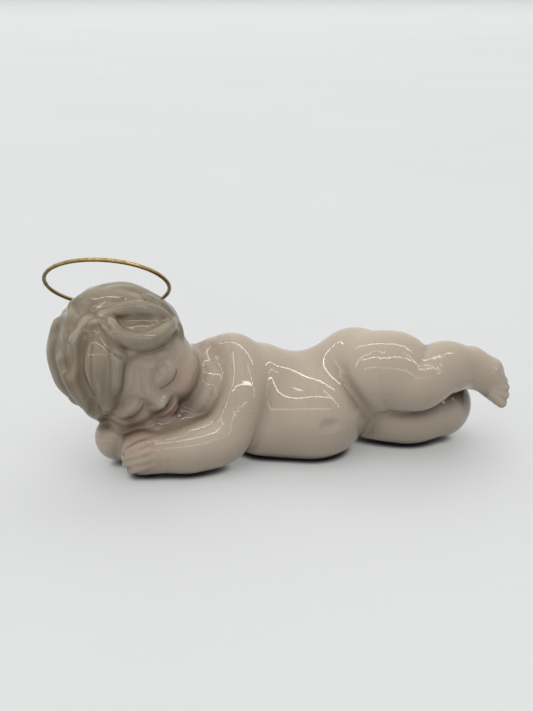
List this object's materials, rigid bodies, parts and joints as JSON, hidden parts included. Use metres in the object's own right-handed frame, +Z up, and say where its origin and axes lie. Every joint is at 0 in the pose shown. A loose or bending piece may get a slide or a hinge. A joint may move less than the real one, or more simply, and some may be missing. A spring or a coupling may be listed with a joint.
{
  "type": "baby jesus figurine",
  "caption": "Glazed porcelain figurine of a sleeping infant lying on its side, with a brass wire ring halo, for a nativity scene.",
  "frame": {"origin": "on the surface that the figurine lies on, below the middle of its bounding box", "axes": "+X from the head to the feet, +Y from the figure's front to its back, +Z up"},
  "size_m": [0.1674, 0.0734, 0.0757],
  "materials": {
    "porcelain": "clear gloss glaze over warm grey body colour, with brown brushed hair",
    "halo_wire": "aged satin"
  },
  "bodies": {
    "root": {"figure": "porcelain", "halo": "halo_wire"}
  },
  "joints": []
}
